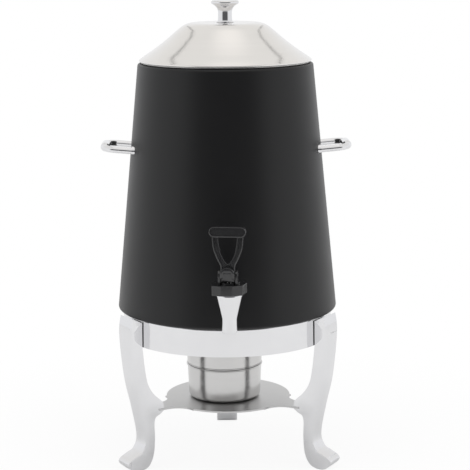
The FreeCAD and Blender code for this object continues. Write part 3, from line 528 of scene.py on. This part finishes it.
# Knob
# A turned trumpet with a rounded lip and a hollowed top, screwed on from inside the lid.
# It is polished and chrome plated like the stand.
knob_base = lid_base + lid_rise
knob_outside = flowing([
    (0.0000, 0.0000), (0.0100, 0.0000), (0.0102, 0.0006), (0.0094, 0.0011), (0.0089, 0.0025),
    (0.0086, 0.0050), (0.0085, 0.0095), (0.0086, 0.0127), (0.0090, 0.0149), (0.0096, 0.0164),
    (0.0103, 0.0177), (0.0113, 0.0189), (0.0125, 0.0201), (0.0141, 0.0212), (0.0158, 0.0222),
    (0.0168, 0.0232), (0.0171, 0.0243), (0.0169, 0.0254), (0.0160, 0.0264), (0.0145, 0.0269),
    (0.0125, 0.0270), (0.0080, 0.0265), (0.0000, 0.0263)], 5)
knob_section = [(max(point.x, 0.0), knob_base + point.y) for point in knob_outside]
knob = turned("knob_turned", knob_section, steps=96, closed=False)
chrome.apply(knob)
stands_for(knob, "lid", "lid_knob")


# Tap lever, bonnet, nut and pins
# The forked lever, the bonnet and its nut are moulded in glossy black plastic, their edges rounded.
# The lever turns on a steel pin between the bonnet's ears, and a second pin in its tail lifts the stem.
plastic = Finish("black_moulding", {"Coat Weight": 0.6, "Coat Roughness": 0.06})
plastic_cloud = plastic.noise(plastic.place(), 120.0, 3.0)
plastic.set("Base Color", plastic.mix(plastic_cloud, (0.009, 0.009, 0.010), (0.014, 0.014, 0.015)))
plastic.set("Roughness", 0.20 + 0.08 * plastic_cloud)


def softened(name, width=0.0):
    """A copy of a CAD piece, its sharp edges rounded by this width."""
    copy = bmesh.new()
    copy.from_mesh(nodes[name].data)
    bmesh.ops.remove_doubles(copy, verts=copy.verts, dist=0.00001)
    bmesh.ops.dissolve_limit(copy, angle_limit=radians(0.6), verts=copy.verts, edges=copy.edges)
    if width:
        sharp = [edge for edge in copy.edges
                 if len(edge.link_faces) == 2 and edge.calc_face_angle() > radians(30)]
        bmesh.ops.bevel(copy, geom=sharp, offset=width, offset_type="OFFSET", segments=3, profile=0.5,
                        affect="EDGES", clamp_overlap=True, material=-1)
    bmesh.ops.triangulate(copy, faces=[face for face in copy.faces if len(face.verts) > 4])
    return copy


tap_line = -0.1765
tap_axis = Vector((0, tap_line, 0))
pivot_height, pivot_line = 0.2702, -0.1845
lever_turn = (Matrix.Translation(tap_axis) @ Matrix.Rotation(radians(-9), 4, "Z")
              @ Matrix.Translation(-tap_axis))


def moulded(mesh, outline, front, back, edge, rim, dish):
    """Add a plate with this front outline, its edges rounded and its face dished inside a rim."""
    older = set(mesh.faces)
    plate = mesh.faces.new([mesh.verts.new((x, pivot_line + front, pivot_height + z)) for x, z in outline])
    raised = bmesh.ops.extrude_face_region(mesh, geom=[plate], use_keep_orig=True)["geom"]
    bmesh.ops.translate(mesh, verts=[part for part in raised if isinstance(part, bmesh.types.BMVert)],
                        vec=(0, back - front, 0))
    fresh = [face for face in mesh.faces if face not in older]
    bmesh.ops.recalc_face_normals(mesh, faces=fresh)
    rims = [line for line in mesh.edges
            if any(face not in older and len(face.verts) > 4 for face in line.link_faces)]
    bmesh.ops.bevel(mesh, geom=rims, offset=edge, offset_type="OFFSET", segments=3, profile=0.5,
                    affect="EDGES", clamp_overlap=True, material=-1)
    if rim:
        faces = [face for face in mesh.faces
                 if face not in older and face.normal.y < -0.9 and len(face.verts) > 4]
        bmesh.ops.inset_region(mesh, faces=faces, thickness=rim, depth=0)
        bmesh.ops.inset_region(mesh, faces=faces, thickness=0.0003, depth=-dish)


lever_mesh = bmesh.new()
arm = flowing([(0.0084, 0.0040), (0.0085, 0.0103), (0.0125, 0.0186), (0.0166, 0.0299), (0.0178, 0.0412),
               (0.0179, 0.0490)], 5)
crotch = flowing([(0.0109, 0.0490), (0.0109, 0.0412), (0.0094, 0.0299), (0.0065, 0.0206), (0.0000, 0.0129),
                  (-0.0065, 0.0206), (-0.0094, 0.0299), (-0.0109, 0.0412), (-0.0109, 0.0490)], 5)
fork = [tuple(point) for point in arm + crotch] + [(-point[0], point[1]) for point in reversed(arm)]
bar_reach, bar_round, bar_height = 0.0153, 0.0060, 0.0499
bar = (rolled((bar_reach, bar_height), bar_round, -90, 90, 12)
       + rolled((-bar_reach, bar_height), bar_round, 90, 270, 12))
hood_half, hood_crown, hood_low = 0.0083, 0.0011, -0.0085
hood = ([(hood_half, hood_low)] + rolled((0.0, hood_crown), hood_half, 0, 180, 14)
        + [(-hood_half, hood_low)])
recess_half, recess_top = 0.0042, 0.0032
cheeks = hood + [(-recess_half, hood_low), (-recess_half, recess_top), (recess_half, recess_top),
                 (recess_half, hood_low)]
for plate_outline, plate_front, plate_back, plate_edge, plate_rim, plate_dish in (
        (fork, -0.0045, 0.0045, 0.0007, 0.0013, 0.0009),
        (bar, -0.0062, 0.0052, 0.0007, 0.0010, 0.0014),
        (hood, -0.0086, 0.0060, 0.0014, 0.0, 0.0),
        (cheeks, -0.0100, -0.0080, 0.0005, 0.0, 0.0)):
    moulded(lever_mesh, plate_outline, plate_front, plate_back, plate_edge, plate_rim, plate_dish)
bmesh.ops.triangulate(lever_mesh, faces=[face for face in lever_mesh.faces if len(face.verts) > 4])
hood_waist, hood_reach = -0.0015, 0.0096
for vert in lever_mesh.verts:
    forward, up = vert.co.y - pivot_line, vert.co.z - pivot_height
    if up < hood_waist:
        reach = (hood_reach ** 2 - up ** 2) ** 0.5
        vert.co.y = pivot_line + min(max(forward, -reach), reach)
lever = shown("lever_moulding", lever_mesh, corner=34)

bonnet_slim = 0.95
bonnet_copy = softened("bonnet", 0.0005)
bmesh.ops.scale(bonnet_copy, verts=bonnet_copy.verts, vec=(bonnet_slim, 1, 1))
bonnet = shown("bonnet_soft", bonnet_copy, corner=34)

nut_low, nut_high, nut_half = 0.2470, 0.2588, 0.0205
nut_bore_low, nut_bore_high = 0.01405, 0.01205
nut_front = [(-1.0, -0.79), (-0.49, -0.995), (0.136, -1.0), (0.74, -0.80), (1.0, -0.07)]
nut_corners = [Vector(corner) * nut_half for corner in nut_front + [(-x, -y) for x, y in nut_front]]
nut_mesh = bmesh.new()
nut_rings = []
for nut_bore, nut_level in ((nut_bore_low, nut_low), (nut_bore_high, nut_high)):
    nut_ring = []
    for corners in (nut_corners, [corner / corner.length * nut_bore for corner in nut_corners]):
        nut_ring.append([nut_mesh.verts.new((corner.x, corner.y + tap_line, nut_level)) for corner in corners])
    nut_rings.append(nut_ring)
(low_out, low_in), (high_out, high_in) = nut_rings
for index in range(len(nut_corners)):
    for lower, upper in ((low_out, high_out), (low_in, low_out), (high_out, high_in), (high_in, low_in)):
        nut_mesh.faces.new((lower[index - 1], lower[index], upper[index], upper[index - 1]))
bmesh.ops.recalc_face_normals(nut_mesh, faces=nut_mesh.faces)
nut_edges = [edge for edge in nut_mesh.edges if edge.calc_face_angle() > radians(10)]
bmesh.ops.bevel(nut_mesh, geom=nut_edges, offset=0.0006, offset_type="OFFSET", segments=2, profile=0.5,
                affect="EDGES", clamp_overlap=True, material=-1)
nut = shown("nut_soft", nut_mesh, corner=5)

for moulding, moulding_body, moulding_node in ((lever, "lever", "tap_lever"), (bonnet, "urn", "bonnet"),
                                               (nut, "urn", "bonnet_nut")):
    if moulding is not nut:
        moulding.data.transform(lever_turn)
    plastic.apply(moulding)
    stands_for(moulding, moulding_body, moulding_node)

pin_slim = 0.94
for pin_node, pin_body in (("pivot_pin", "urn"), ("lift_pin", "lever"), ("tap_stem", "stem")):
    pin = shown(pin_node + "_turned", softened(pin_node), corner=34)
    pin.data.transform(lever_turn @ Matrix.Diagonal((pin_slim, 1, 1, 1)))
    small_steel.apply(pin)
    stands_for(pin, pin_body, pin_node)


# Tap body
# The spout narrows to a plain turned nose; the threaded shank behind it goes through the wall.
# It is one casting, turned, polished and chrome plated.
spout_radius, spout_tip, spout_rise = 0.0152, 0.2030, 0.0440
tip_swell, top_gain = 0.936, 0.157
tap_copy = softened("tap_body")
for vert in tap_copy.verts:
    offset = vert.co - tap_axis
    if (offset.x ** 2 + offset.y ** 2) ** 0.5 < spout_radius:
        swell = tip_swell + top_gain * min(max((offset.z - spout_tip) / spout_rise, 0.0), 1.0)
        vert.co.x = offset.x * swell
        vert.co.y = offset.y * swell + tap_axis.y
tap = shown("tap_cast", tap_copy, corner=34)
chrome.apply(tap)
stands_for(tap, "urn", "tap_body")


# Seals
# Two washers and the seat cup are black silicone, soft and dull.
silicone = Finish("dull_silicone", {"Specular IOR Level": 0.3})
silicone_cloud = silicone.noise(silicone.place(), 300.0, 3.0)
silicone.set("Base Color", silicone.mix(silicone_cloud, (0.02, 0.02, 0.02), (0.035, 0.035, 0.035)))
silicone.set("Roughness", 0.6 + 0.15 * silicone_cloud)
silicone.apply(nodes["outer_gasket"], nodes["inner_gasket"], nodes["seat_cup"])
